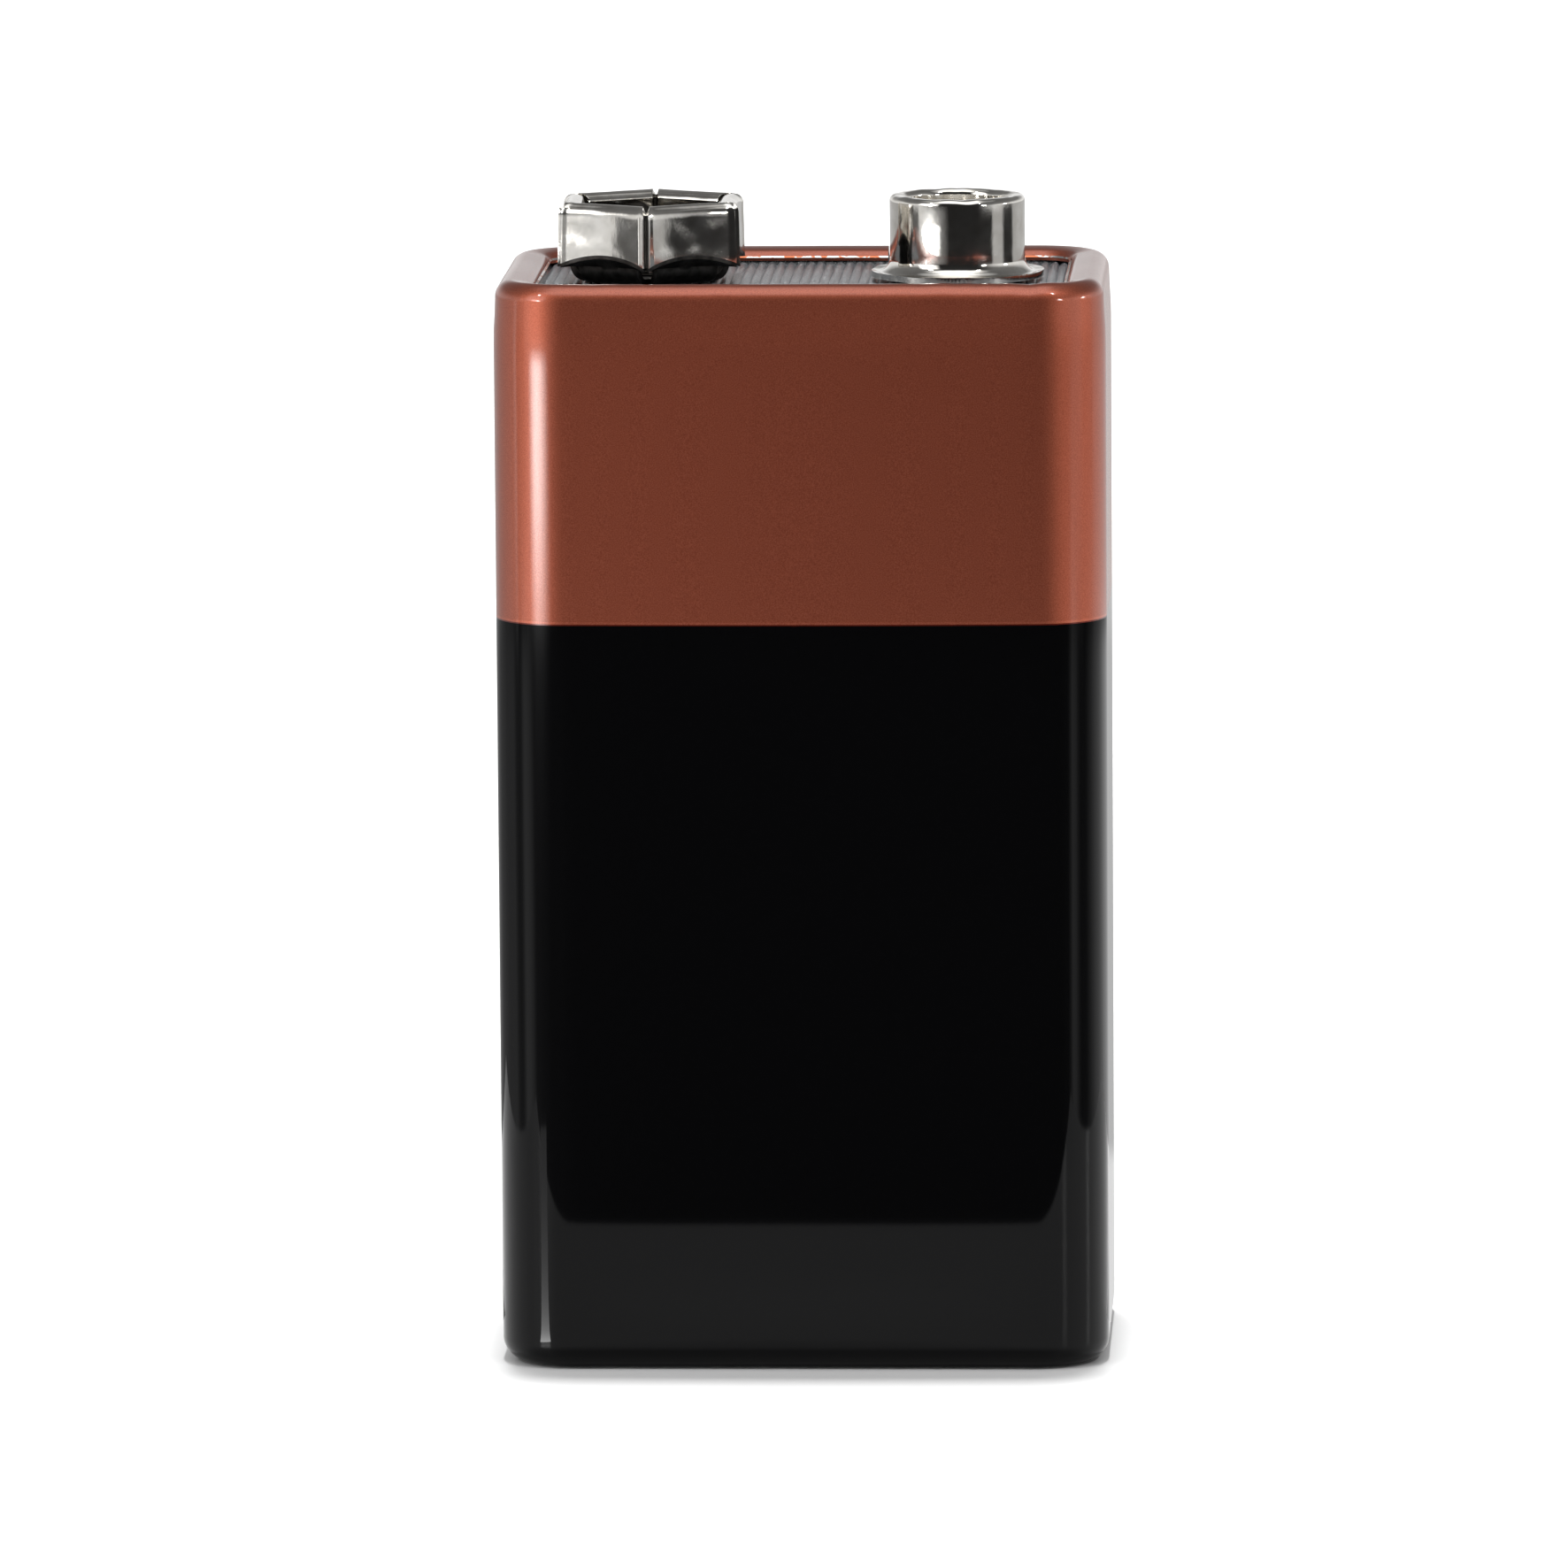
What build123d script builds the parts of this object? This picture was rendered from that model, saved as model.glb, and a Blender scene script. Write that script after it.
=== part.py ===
"""Nine volt battery: six cylindrical cells in series inside a rolled tinplate jacket.

Sizes are in millimetres. The origin is in the middle of the underside, +X runs across the
broad front face from the negative snap to the positive one, the front face looks along -Y
and +Z is up.
"""

import math
import os

from build123d import *

# Jacket: one tinplate sheet folded round the pack, lapped at the back, rolled in at both ends
body_width = 25.2
body_depth = 16.5
body_height = 45.1
corner_radius = 3.05
sheet_thickness = 0.25
top_lip_width = 1.6
top_lip_drop = 0.4
top_roll_inside = 0.45
top_turn_inside = 0.12
bottom_lip_width = 2.2
bottom_roll_inside = 0.75
seam_gap = 0.1
lap_width = 2.4
lap_end_margin = 0.6

# Terminal plate: ribbed board under the top lip
plate_thickness = 1.2
wall_clearance = 0.08
border_rise = 0.2
border_reach = 0.05
rib_pitch = 0.41
rib_width = 0.33
rib_height = 0.13
land_rise = 0.06

# Positive stud: one drawn sheet, floor, inner wall, rolled rim, outer wall and flange
terminal_spacing = 12.7
stud_sheet = 0.25
stud_height = 3.45
stud_head_radius = 2.8
stud_bore_radius = 2.15
stud_flange_radius = 3.65
stud_flange_inside = 0.65
stud_floor_inside = 0.3
stud_land_overhang = 0.8

# Negative snap: hexagonal crown of six sprung petals on one base disc
snap_sheet = 0.25
snap_height = 3.34
snap_across_flats = 7.35
snap_wall_lean = 0.12
snap_face_hollow = 0.12
snap_base_radius = 2.5
snap_bottom_inside = 0.7
snap_top_inside = 0.17
snap_throat_inside = 0.08
snap_throat_across_flats = 5.5
snap_lip_angle = 12
snap_lip_length = 1.2
snap_lip_spread = 0.15
snap_slot_width = 0.28
snap_tip_height = 0.8
snap_notch_radius = 1.2
petal_count = 6
petal_sweep_factor = 1.3
almost_half = 0.49

# Rivets: hollow eyelets that clamp snap, plate and lead together
rivet_shank_radius = 0.9
rivet_bore_radius = 0.55
rivet_head_thickness = 0.3
rivet_tail_thickness = 0.25
rivet_head_clearance = 0.1
rivet_hole_clearance = 0.03
rivet_edge_round = 0.12

# Leads and welded straps
strap_thickness = 0.2
strap_width = 3.4
lead_bend_inside = 0.3
lead_drop_offset = 2.3
lead_tab_radius = 1.7
lead_foot_reach = 1.3
strap_slit_width = 0.4
strap_slit_length = 1.4

# Spacer under the terminal plate, and base plate
spacer_height = 2.3
spacer_floor = 0.6
spacer_wall = 1.0
lead_slot_clearance = 0.3
base_thickness = 0.8
base_clearance = 0.08

# Liner and cells
liner_thickness = 0.15
liner_clearance = 0.02
cell_gap = 0.03
cell_columns = 3
cell_rows = 2
nub_radius = 1.7
nub_height = 0.5
can_end_round = 0.45
bead_depth = 0.3
bead_width = 0.9
bead_distance = 2.2
crimp_width = 0.75
crimp_height = 0.25
cap_radius = 2.6

# Heights worked out from the driving dimensions
border_height = body_height - top_lip_drop
rib_crest_height = border_height - border_rise
valley_height = rib_crest_height - rib_height
land_height = rib_crest_height + land_rise
plate_underside = valley_height - plate_thickness
lead_underside = plate_underside - strap_thickness
spacer_underside = plate_underside - spacer_height
cell_top = spacer_underside - strap_thickness
base_top = sheet_thickness + base_thickness
cell_bottom = base_top + strap_thickness
cell_length = cell_top - cell_bottom

# Room inside the liner, and the cells as large as fit in it both ways
inner_width = body_width - 2 * sheet_thickness
inner_depth = body_depth - 2 * sheet_thickness
inner_radius = corner_radius - sheet_thickness
liner_wall = liner_thickness + liner_clearance
room_width = inner_width - 2 * liner_wall
room_depth = inner_depth - 2 * liner_wall
cell_diameter = min(
    (room_width - (cell_columns + 1) * cell_gap) / cell_columns,
    (room_depth - (cell_rows + 1) * cell_gap) / cell_rows,
)
cell_radius = cell_diameter / 2
column_pitch = (room_width - cell_diameter - 2 * cell_gap) / (cell_columns - 1)
row_pitch = (room_depth - cell_diameter - 2 * cell_gap) / (cell_rows - 1)
seam_x = column_pitch / 2

# Opening that the top lip leaves, and the places of the two terminals
opening_width = body_width - 2 * top_lip_width
opening_depth = body_depth - 2 * top_lip_width
opening_radius = corner_radius - top_lip_width
negative_x = -terminal_spacing / 2
positive_x = terminal_spacing / 2
rivet_hole_radius = rivet_shank_radius + rivet_hole_clearance
rivet_head_radius = stud_bore_radius - stud_floor_inside - rivet_head_clearance
rivet_tail_radius = lead_tab_radius - rivet_head_clearance

# Cells in the order in which they are joined in series: column, row, negative end up
series_order = [(-1, -1, True), (-1, 1, False), (0, 1, True), (0, -1, False), (1, -1, True), (1, 1, False)]


def cell_place(index):
    """Middle of a cell, seen from above."""
    column, row, _ = series_order[index]
    return column * column_pitch, row * row_pitch / 2


def rounded_block(width, depth, radius, low, high):
    """Upright block with rounded corners, from one height to another."""
    outline = Rectangle(width, depth) if radius <= 0 else RectangleRounded(width, depth, radius)
    return Pos(0, 0, low) * extrude(outline, high - low)


def upright_cylinder(x, y, radius, low, high):
    """Upright cylinder from one height to another."""
    return Pos(x, y, low) * extrude(Circle(radius), high - low)


def folded_section(points, inside_radii, thickness):
    """Section of a bent sheet that lies to the left of the points, with inside bend radii."""
    corners = [Vector(*point) for point in points]
    runs = [(after - before).normalized() for before, after in zip(corners, corners[1:])]
    normals = [Vector(-run.Y, run.X) for run in runs]
    far_points = [corners[0] + normals[0] * thickness]
    near_radii = []
    far_radii = []
    for corner, before, after, radius in zip(corners[1:], normals, normals[1:], inside_radii):
        far_points.append(corner + (before + after) * (thickness / (1 + before.dot(after))))
        bends_left = before.cross(after).Z > 0
        near_radii.append(radius + thickness if bends_left else radius)
        far_radii.append(radius if bends_left else radius + thickness)
    far_points.append(corners[-1] + normals[-1] * thickness)
    near_face = FilletPolyline(*corners, radius=near_radii)
    far_face = FilletPolyline(*far_points, radius=far_radii)
    ends = [Line(corners[0], far_points[0]), Line(corners[-1], far_points[-1])]
    return make_face(near_face.edges() + far_face.edges() + ends)


def jacket_section():
    """Wall of the jacket with its rolled lips; the outer face lies on the height axis."""
    points = [
        (-bottom_lip_width, 0),
        (0, 0),
        (0, body_height),
        (-top_lip_width, body_height),
        (-top_lip_width, border_height),
    ]
    return folded_section(points, [bottom_roll_inside, top_roll_inside, top_turn_inside], sheet_thickness)


def jacket():
    """Tinplate shell, with the lap that closes it at the back."""
    back = body_depth / 2
    side = body_width / 2
    start = (seam_x + seam_gap / 2, back)
    end = (seam_x - seam_gap / 2, back)
    route = FilletPolyline(
        start, (side, back), (side, -back), (-side, -back), (-side, back), end, radius=corner_radius
    )
    across_wall = Plane(origin=(*start, 0), x_dir=(0, 1, 0), z_dir=(1, 0, 0))
    shell = sweep(across_wall * jacket_section(), path=route)
    lap_low = base_top + lap_end_margin
    lap_high = spacer_underside - lap_end_margin
    lap = Box(lap_width, sheet_thickness, lap_high - lap_low)
    lap_y = (inner_depth - sheet_thickness) / 2
    return shell + Pos(seam_x, lap_y, (lap_low + lap_high) / 2) * lap


def rib_field():
    """Rounded ribs side by side, running from front to back of the opening."""
    rib_count = int(opening_width / rib_pitch)
    first_rib = -(rib_count - 1) / 2 * rib_pitch
    edges = []
    for index in range(rib_count):
        middle = first_rib + index * rib_pitch
        left = (middle - rib_width / 2, 0)
        right = (middle + rib_width / 2, 0)
        edges.append(ThreePointArc(left, (middle, rib_height), right))
        if index < rib_count - 1:
            edges.append(Line(right, (middle + rib_pitch - rib_width / 2, 0)))
    last_end = -first_rib + rib_width / 2
    foot = plate_thickness / 2
    edges.append(Polyline((last_end, 0), (last_end, -foot), (-last_end, -foot), (-last_end, 0)))
    comb = make_face(Curve() + edges)
    upright = Plane(origin=(0, opening_depth, valley_height), x_dir=(1, 0, 0), z_dir=(0, -1, 0))
    return extrude(upright * comb, 2 * opening_depth)


def terminal_plate():
    """Board with a smooth raised border under the lip, ribs, and a round land for each snap."""
    width = inner_width - 2 * wall_clearance
    depth = inner_depth - 2 * wall_clearance
    radius = inner_radius - wall_clearance
    board = rounded_block(width, depth, radius, plate_underside, border_height)
    board = fillet(board.edges().group_by(Axis.Z)[-1], top_roll_inside)
    field_size = (opening_width - 2 * border_reach, opening_depth - 2 * border_reach)
    field_radius = opening_radius - border_reach
    board -= rounded_block(*field_size, field_radius, valley_height, border_height)
    field_block = rounded_block(*field_size, field_radius, plate_underside, border_height)
    board += rib_field() & field_block
    land_radii = {negative_x: snap_base_radius, positive_x: stud_flange_radius - stud_land_overhang}
    for x, radius in land_radii.items():
        board += upright_cylinder(x, 0, radius, plate_underside, land_height)
        board -= upright_cylinder(x, 0, rivet_hole_radius, plate_underside, land_height)
    return board


def positive_snap():
    """Drawn stud: the floor is riveted, the wall goes up, rolls over and comes down to a flange."""
    points = [
        (stud_flange_radius, stud_sheet),
        (stud_head_radius, stud_sheet),
        (stud_head_radius, stud_height),
        (stud_bore_radius, stud_height),
        (stud_bore_radius, stud_sheet),
        (rivet_hole_radius, stud_sheet),
    ]
    rim_inside = (stud_head_radius - stud_bore_radius) * almost_half - stud_sheet
    radii = [stud_flange_inside, rim_inside, rim_inside, stud_floor_inside]
    section = Plane.XZ * folded_section(points, radii, stud_sheet)
    return Pos(positive_x, 0, land_height) * revolve(section, Axis.Z)


def snap_petal():
    """Petal along +X: up from the base, over at the top and down into the throat."""
    wall = snap_across_flats / 2
    throat = snap_throat_across_flats / 2
    slope = math.radians(snap_lip_angle)
    crest_drop = (snap_top_inside + snap_sheet) * (math.tan(math.pi / 4 + slope / 2) - 1)
    corner_height = snap_height + crest_drop
    lip_height = corner_height - (wall - throat) * math.tan(slope)
    points = [
        ((rivet_hole_radius + snap_base_radius) / 2, 0),
        (wall + snap_wall_lean, 0),
        (wall, corner_height),
        (throat, lip_height),
        (throat + snap_lip_spread, lip_height - snap_lip_length),
    ]
    radii = [snap_bottom_inside, snap_top_inside, snap_throat_inside]
    section = Plane.XZ * folded_section(points, radii, snap_sheet)
    half_face = wall * math.tan(math.pi / petal_count)
    hollow_radius = (half_face**2 + snap_face_hollow**2) / (2 * snap_face_hollow)
    hollow_axis = Axis((wall + hollow_radius, 0, 0), (0, 0, 1))
    sweep_angle = 2 * math.degrees(math.asin(petal_sweep_factor * half_face / hollow_radius))
    return revolve(section.rotate(hollow_axis, -sweep_angle / 2), hollow_axis, sweep_angle)


def negative_snap():
    """Hexagonal crown with its corners to the front and back, slotted at each corner."""
    half_turn = math.pi / petal_count
    reach = snap_across_flats
    apex = snap_slot_width / 2 / math.sin(half_turn)
    sector = Polygon(
        (apex, 0),
        (apex + reach, -reach * math.tan(half_turn)),
        (apex + reach, reach * math.tan(half_turn)),
        align=None,
    )
    petal = snap_petal() & extrude(sector, snap_height)
    corner = (snap_across_flats / 2 + snap_wall_lean) / math.cos(half_turn)
    crown = extrude(Circle(snap_base_radius), snap_sheet)
    for index in range(petal_count):
        crown += petal.rotate(Axis.Z, index * 360 / petal_count)
    for index in range(petal_count):
        angle = (2 * index + 1) * half_turn
        x, y = corner * math.cos(angle), corner * math.sin(angle)
        crown -= upright_cylinder(x, y, snap_notch_radius, 0, snap_tip_height)
    crown -= extrude(Circle(rivet_hole_radius), snap_sheet)
    return Pos(negative_x, 0, land_height) * crown


def rivet(x, base_sheet):
    """Hollow eyelet: head on the snap's base, shank down through the plate, tail under the lead."""
    head_seat = land_height + base_sheet
    head_top = head_seat + rivet_head_thickness
    tail_bottom = lead_underside - rivet_tail_thickness
    points = [
        (rivet_bore_radius, tail_bottom),
        (rivet_tail_radius, tail_bottom),
        (rivet_tail_radius, lead_underside),
        (rivet_shank_radius, lead_underside),
        (rivet_shank_radius, head_seat),
        (rivet_head_radius, head_seat),
        (rivet_head_radius, head_top),
        (rivet_bore_radius, head_top),
    ]
    radii = [rivet_edge_round, 0, 0, 0, 0, rivet_edge_round, rivet_edge_round, rivet_edge_round]
    section = Plane.XZ * make_face(FilletPolyline(*points, radius=radii, close=True))
    return Pos(x, 0, 0) * revolve(section, Axis.Z)


def lead():
    """Strip from the negative rivet's tail, down through the spacer, to the first cell."""
    cell_x, cell_y = cell_place(0)
    drop_y = -lead_drop_offset
    foot_end = cell_y - lead_foot_reach
    tab_edge = drop_y + lead_bend_inside + 2 * strap_thickness
    points = [
        (tab_edge, plate_underside),
        (drop_y, plate_underside),
        (drop_y, cell_top + strap_thickness),
        (foot_end, cell_top + strap_thickness),
    ]
    bends = [lead_bend_inside, lead_bend_inside]
    section = Plane.YZ * folded_section(points, bends, strap_thickness)
    strip = Pos(cell_x - strap_width / 2, 0, 0) * extrude(section, strap_width, dir=(1, 0, 0))
    strip_end = Pos(cell_x, tab_edge + strap_thickness) * Rectangle(strap_width, 2 * strap_thickness)
    ring = Pos(negative_x, 0) * Circle(lead_tab_radius)
    tab = Pos(0, 0, lead_underside) * extrude(make_hull(strip_end.edges() + ring.edges()), strap_thickness)
    hole = upright_cylinder(negative_x, 0, rivet_hole_radius, lead_underside, plate_underside)
    return strip + tab - hole


def strap(first, second, low):
    """Welded strip that joins two neighbouring cells, slit at both ends for the weld."""
    x1, y1 = cell_place(first)
    x2, y2 = cell_place(second)
    length = math.hypot(x2 - x1, y2 - y1)
    strip = SlotCenterToCenter(length, strap_width)
    for end in (-1, 1):
        slit_middle = end * (length / 2 + strap_width / 2 - strap_slit_length / 2)
        strip -= Pos(slit_middle, 0) * Rectangle(strap_slit_length, strap_slit_width)
    direction = math.degrees(math.atan2(y2 - y1, x2 - x1))
    return Pos((x1 + x2) / 2, (y1 + y2) / 2, low) * Rot(0, 0, direction) * extrude(strip, strap_thickness)


def spacer():
    """Tray that carries the terminal plate over the rivet tails, with a slot for each lead."""
    width = inner_width - 2 * wall_clearance
    depth = inner_depth - 2 * wall_clearance
    radius = inner_radius - wall_clearance
    floor_top = spacer_underside + spacer_floor
    tray = rounded_block(width, depth, radius, spacer_underside, plate_underside)
    hollow_width = width - 2 * spacer_wall
    hollow_depth = depth - 2 * spacer_wall
    tray -= rounded_block(hollow_width, hollow_depth, radius - spacer_wall, floor_top, plate_underside)
    middle_rib = Box(spacer_wall, depth - spacer_wall, spacer_height)
    tray += Pos(0, 0, spacer_underside + spacer_height / 2) * middle_rib
    cell_x, _ = cell_place(0)
    slot_width = strap_width + 2 * lead_slot_clearance
    slot_reach = 2 * strap_thickness + lead_bend_inside + 2 * lead_slot_clearance
    slot_middle = lead_drop_offset - strap_thickness + (strap_thickness + lead_bend_inside) / 2
    for end in (1, -1):
        slot = Box(slot_width, slot_reach, spacer_floor)
        tray -= Pos(end * cell_x, -end * slot_middle, spacer_underside + spacer_floor / 2) * slot
    return tray


def base_plate():
    """Flat board on the bottom lip, rounded at its lower edge to nest in the roll."""
    width = inner_width - 2 * base_clearance
    depth = inner_depth - 2 * base_clearance
    board = rounded_block(width, depth, inner_radius - base_clearance, sheet_thickness, base_top)
    lower_edges = board.edges().group_by(Axis.Z)[0]
    nesting_radius = min(bottom_roll_inside, base_thickness - wall_clearance)
    return fillet(lower_edges, nesting_radius)


def liner():
    """Insulating sleeve round the cells, open where the jacket's lap stands in."""
    clear_width = inner_width - 2 * liner_clearance
    clear_depth = inner_depth - 2 * liner_clearance
    clear_radius = inner_radius - liner_clearance
    sleeve = rounded_block(clear_width, clear_depth, clear_radius, base_top, spacer_underside)
    inside_radius = clear_radius - liner_thickness
    sleeve -= rounded_block(
        clear_width - 2 * liner_thickness,
        clear_depth - 2 * liner_thickness,
        inside_radius,
        base_top,
        spacer_underside,
    )
    opening = Box(lap_width + 2 * wall_clearance, corner_radius, 2 * body_height)
    return sleeve - Pos(seam_x, inner_depth / 2, body_height / 2) * opening


def cell(index):
    """Sealed can: a raised nub on the positive end, a crimped rim and flat cap on the other."""
    rim = cell_length - crimp_height
    bead_middle = cell_length - bead_distance
    rounded_points = {
        (0, 0): 0,
        (nub_radius, 0): 0,
        (nub_radius, nub_height): 0,
        (cell_radius, nub_height): can_end_round,
        (cell_radius, bead_middle - bead_width / 2): 0,
        (cell_radius - bead_depth, bead_middle): 0,
        (cell_radius, bead_middle + bead_width / 2): 0,
        (cell_radius, rim): can_end_round,
        (cell_radius - crimp_width, rim): 0,
        (cap_radius, cell_length): 0,
        (0, cell_length): 0,
    }
    outline = FilletPolyline(*rounded_points, radius=list(rounded_points.values()), close=True)
    section = Plane.XZ * make_face(outline)
    can = revolve(section, Axis.Z)
    _, _, negative_up = series_order[index]
    if not negative_up:
        can = Pos(0, 0, cell_length) * can.rotate(Axis.X, 180)
    return Pos(*cell_place(index), cell_bottom) * can


def build_nodes():
    """Every separate piece of the battery by name."""
    negative_lead = lead()
    nodes = {
        "jacket": jacket(),
        "terminal_plate": terminal_plate(),
        "negative_snap": negative_snap(),
        "positive_snap": positive_snap(),
        "negative_rivet": rivet(negative_x, snap_sheet),
        "positive_rivet": rivet(positive_x, stud_sheet),
        "negative_lead": negative_lead,
        "positive_lead": negative_lead.rotate(Axis.Z, 180),
        "spacer": spacer(),
        "liner": liner(),
        "base_plate": base_plate(),
    }
    for index in range(len(series_order)):
        nodes[f"cell_{index + 1}"] = cell(index)
    for number, first in enumerate((1, 3), 1):
        nodes[f"top_strap_{number}"] = strap(first, first + 1, cell_top)
    for number, first in enumerate((0, 2, 4), 1):
        nodes[f"bottom_strap_{number}"] = strap(first, first + 1, base_top)
    return nodes


os.makedirs("parts", exist_ok=True)
for name, piece in build_nodes().items():
    export_step(piece, f"parts/{name}.step")
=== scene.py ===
"""Looks of the nine volt battery: jacket, terminal board, snaps, materials, studio and camera.

Sizes named here are in millimetres unless a comment says otherwise; Blender's own are metres.
"""

import math

import bpy
from mathutils import Matrix, Vector, noise


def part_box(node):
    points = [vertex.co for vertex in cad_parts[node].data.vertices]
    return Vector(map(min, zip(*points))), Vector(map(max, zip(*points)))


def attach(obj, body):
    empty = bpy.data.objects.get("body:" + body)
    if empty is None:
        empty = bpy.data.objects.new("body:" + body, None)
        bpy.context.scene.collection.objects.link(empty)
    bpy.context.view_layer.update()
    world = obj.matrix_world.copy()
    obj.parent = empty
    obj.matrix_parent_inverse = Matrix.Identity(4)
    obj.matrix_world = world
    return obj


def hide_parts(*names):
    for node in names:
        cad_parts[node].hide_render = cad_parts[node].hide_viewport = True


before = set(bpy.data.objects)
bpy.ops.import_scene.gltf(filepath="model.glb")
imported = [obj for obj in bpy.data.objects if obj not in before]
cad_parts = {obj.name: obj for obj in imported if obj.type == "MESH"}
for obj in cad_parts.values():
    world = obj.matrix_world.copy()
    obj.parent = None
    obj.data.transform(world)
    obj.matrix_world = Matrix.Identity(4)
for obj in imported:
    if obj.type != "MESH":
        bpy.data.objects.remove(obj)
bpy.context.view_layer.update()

MM = 0.001

# Camera, fitted to the photo
camera_azimuth = 2.598
camera_elevation = 8.237
camera_roll = -0.4
camera_distance = 566.06
camera_target = Vector((-1.0, 0.0, 23.33))
camera_near = 10.0
camera_far = 20000.0
picture_side = 1772
focal_pixels = 15343.6
sensor_width = 36.0

# Studio: brightness by azimuth in degrees, at first well below the horizon and then just below it
world_peak = 2.0
low_levels = {
    -180: 0.5,
    -137: 0.35,
    -115: 0.53,
    -98: 0.95,
    -91: 0.47,
    -85: 0.43,
    -81: 0.7,
    -75: 1.9,
    -69: 1.9,
    -63: 1.4,
    -57: 0.44,
    -46: 0.27,
    -31: 0.15,
    -12: 0.14,
    -6: 0.06,
    44: 0.07,
    57: 0.15,
    60: 0.5,
    65: 1.65,
    70: 1.4,
    76: 0.5,
    80: 0.19,
    91: 0.19,
    100: 0.65,
    112: 1.2,
    140: 1.6,
    165: 0.9,
    180: 0.5,
}
middle_levels = {
    -180: 0.6,
    -120: 0.42,
    -92: 0.5,
    -89: 1.4,
    -86: 1.4,
    -84: 0.12,
    -69: 0.12,
    -66: 0.8,
    -41: 0.8,
    -35: 0.4,
    -13: 0.02,
    62: 0.02,
    66: 0.45,
    84: 0.45,
    89: 0.02,
    108: 0.02,
    113: 0.42,
    180: 0.6,
}
middle_start = (-7.7, -7.5)
sky_start = (-3.0, 0.0)

# Studio windows: level, then edges by azimuth and by elevation (start, full, still full, end)
windows = (
    (32.0, (-63.0, -48.5, -46.0, -25.0), (-7.62, -6.7, -6.3, -6.0)),
    (0.3, (158.0, 166.0, 181.0, 182.0), (-12.5, -12.0, -9.86, -9.74)),
    (40.0, (-48.5, -47.5, -42.5, -41.5), (3.0, 3.5, 7.0, 8.0)),
    (40.0, (44.5, 45.5, 50.5, 51.5), (3.0, 3.5, 7.0, 8.0)),
    (40.0, (88.5, 89.5, 94.5, 95.5), (3.0, 3.5, 7.0, 8.0)),
    (2.0, (-72.0, -60.0, -40.0, -28.0), (0.0, 5.0, 25.0, 40.0)),
)

# Studio: brightness by elevation in degrees, towards the lens and away from it, and where by
# azimuth the one gives way to the other
front_sky_levels = {0: 0.02, 40: 0.03, 55: 1.9, 90: 1.7}
back_sky_levels = {0: 0.9, 8: 0.82, 14: 0.5, 22: 0.2, 55: 0.13, 68: 0.6, 76: 1.5, 90: 1.5}
back_sky_start = (35.0, 80.0)

# Studio lamps: azimuth and elevation in degrees, distance, width and height, power in watts
lamps = {
    "key": (-50, 40, 620, (14, 60), 0.5),
    "low_strip": (-53, 9, 620, (34, 90), 0.12),
    "fill": (45, 45, 620, (24, 60), 0.55),
    "floor_wash": (180, 86.3, 2600, (190, 190), 84.0),
}
lamp_target = Vector((0.0, 0.0, 25.0))

# Studio glint: a wedge of light on the floor away from the left front corner
glint_azimuth = -47
glint_offset = 1.3
glint_height = 0.3
glint_start = 3.4
glint_start_width = 1.6
glint_end = 58.0
glint_end_width = 10.5
glint_level_at_millimetre = 125.0

# Studio floor: the white sheet from its middle, its wings behind the battery, and the floor round it
sheet_side = 70
sheet_front = 43
sheet_back = 3
wing_start = 18
wing_back = 46
floor_reach = 4000

# Jacket; the rim's waves start and are full at depths under its crest, its dents at distances
# to the front
corner_radius = 3.05
sheet_thickness = 0.25
top_roll = 0.7
top_lip_width = 1.6
top_lip_drop = 0.4
top_turn = 0.37
top_lip_slope = 0.18
bottom_roll = 1.0
bottom_lip_width = 2.2
seam_gap = 0.1
lap_width = 2.4
lap_end_margin = 0.6
lap_bite = 0.02
colour_split_height = 31.08
front_swell = math.radians(2.2)
side_swell = math.radians(0.2)
least_swell = 0.001
swell_rise = 3.0
shoulder_inset = 0.08
shoulder_length = 1.8
worn_edge = 0.07
copper_edge = 0.16
rim_start = 1.6
rim_full = 0.2
rim_sink = 0.012
rim_front_start = 4.0
rim_front_full = 7.0

# Terminal board
rib_pitch = 0.41
rib_width = 0.33
rib_height = 0.13
border_rise = 0.2
border_reach = 0.05
board_radius = 2.72
board_edge_round = 0.45

# Both snaps
terminal_spacing = 12.7
land_rise = 0.06
rivet_hole_radius = 0.93

# Positive snap: the stud
stud_land_overhang = 0.8
stud_sheet = 0.25
stud_head_radius = 2.8
stud_bore_radius = 2.15
stud_flange_radius = 3.58
stud_flange_bend = 0.55
stud_flange_lift = 0.08
stud_flange_start = 3.1
stud_flange_full = 3.5
stud_floor_bend = 0.3
stud_wall_step = 0.3
stud_rim_round = 0.24
stud_rim_start = 0.3
stud_rim_full = 0.1

# Negative snap: the crown; the heights of neck and edge are over the petals' tips, the face's
# start and end are in from the wall, and the flare starts at a share of the petal's half width
snap_sheet = 0.25
snap_across_flats = 7.35
snap_wall_lean = 0.08
snap_crest_rise = 0.08
snap_neck_half = 1.4
snap_neck_step = 0.5
snap_neck_start = 0.05
snap_neck_full = -0.07
snap_edge_start = 1.0
snap_edge_full = 0.2
snap_edge_arch = 0.22
snap_edge_tip = 0.2
snap_edge_flare = 0.05
snap_edge_bevel = 0.06
snap_flare_start = 0.86
snap_face_start = 0.75
snap_face_full = 0.15
snap_face_hollow = 0.12
snap_foot_radius = 2.1
snap_base_radius = 2.5
snap_bottom_bend = 0.7
snap_top_bend = 0.4
snap_throat_across_flats = 5.5
snap_lip_angle = math.radians(12)
snap_lip_length = 1.2
snap_lip_bend = 0.3
snap_lip_lean = 0.15
snap_slot_width = 0.22
snap_tip_height = 0.8
# Height over the petals' tips up to which the crown's faces are coloured near black as painted shade
snap_painted_shade_height = 0.1
petal_count = 6

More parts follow.
